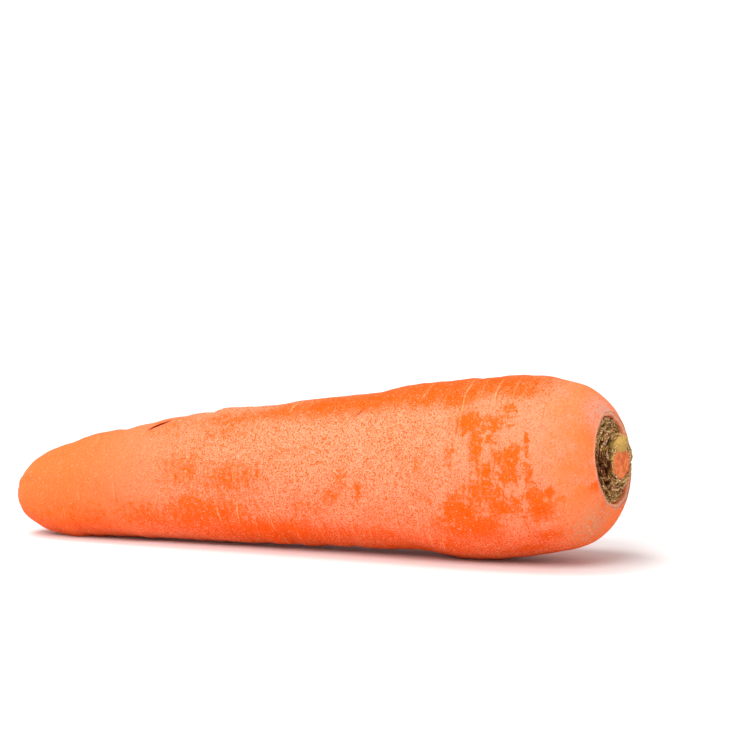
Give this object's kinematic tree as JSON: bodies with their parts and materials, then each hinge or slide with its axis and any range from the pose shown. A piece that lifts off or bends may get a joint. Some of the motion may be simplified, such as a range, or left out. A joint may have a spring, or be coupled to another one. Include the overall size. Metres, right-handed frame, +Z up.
{
  "type": "carrot",
  "caption": "Whole carrot root, topped and washed, lying on its side, with dried leaf stalk stubs in the hollow of its crown.",
  "frame": {"origin": "on the surface that the carrot lies on, under the middle of its box", "axes": "+X from the tip to the crown, +Z up, -Y towards the side that shows best"},
  "size_m": [0.1632, 0.0444, 0.0454],
  "materials": {
    "orange_skin": "dry matt skin with a pale haze, fine transverse scars and saturated orange patches",
    "dried_stalk": "dried fibrous leaf stalk bases, olive and brown, with a cut orange-brown middle"
  },
  "bodies": {
    "root": {"root": "orange_skin", "leaf_stalk_stubs": "dried_stalk"}
  },
  "joints": []
}
